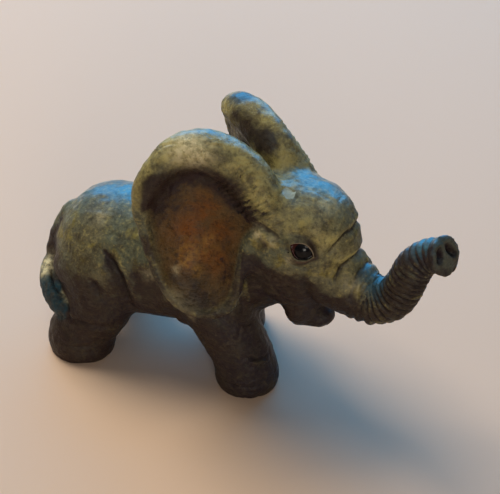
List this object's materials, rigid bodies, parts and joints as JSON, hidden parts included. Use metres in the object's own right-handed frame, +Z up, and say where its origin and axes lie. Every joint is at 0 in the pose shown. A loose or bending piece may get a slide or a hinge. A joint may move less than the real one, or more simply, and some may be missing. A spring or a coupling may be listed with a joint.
{
  "type": "elephant figurine",
  "caption": "Cast resin figurine of a walking baby elephant with its ears spread and its trunk raised; it stands on flat soles.",
  "frame": {"origin": "middle of the bounding box in plan, on the plane of the soles", "axes": "+X the way the figure walks, +Y its left, +Z up"},
  "size_m": [0.1261, 0.0534, 0.083],
  "materials": {
    "painted_resin": "mottled olive and grey paint, satin"
  },
  "bodies": {
    "root": {"elephant": "painted_resin"}
  },
  "joints": []
}
